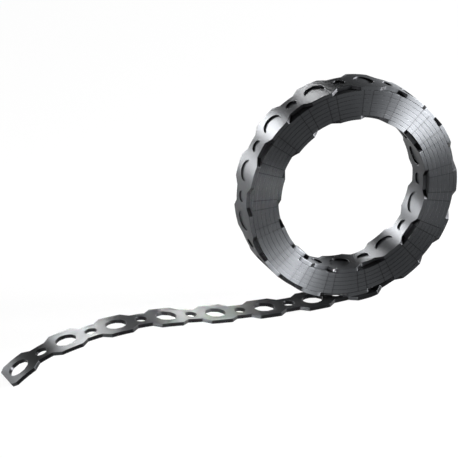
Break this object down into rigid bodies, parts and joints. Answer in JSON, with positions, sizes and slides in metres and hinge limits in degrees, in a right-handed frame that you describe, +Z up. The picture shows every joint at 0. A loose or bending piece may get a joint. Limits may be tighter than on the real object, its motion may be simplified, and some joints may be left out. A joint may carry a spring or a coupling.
{
  "type": "perforated steel strap",
  "caption": "Roll of perforated steel strap with wavy edges and alternating large and small holes, standing on its rim with the free end run out on the floor.",
  "frame": {"origin": "centre of the bounding box at floor level", "axes": "+X along the length, from the free end towards the coil; +Y along the coil's axis, away from the side that the picture shows; +Z up"},
  "size_m": [0.2446, 0.0196, 0.1151],
  "materials": {
    "steel": "dark bright-rolled steel with sheared edges"
  },
  "bodies": {
    "root": {"strap": "steel"}
  },
  "joints": []
}
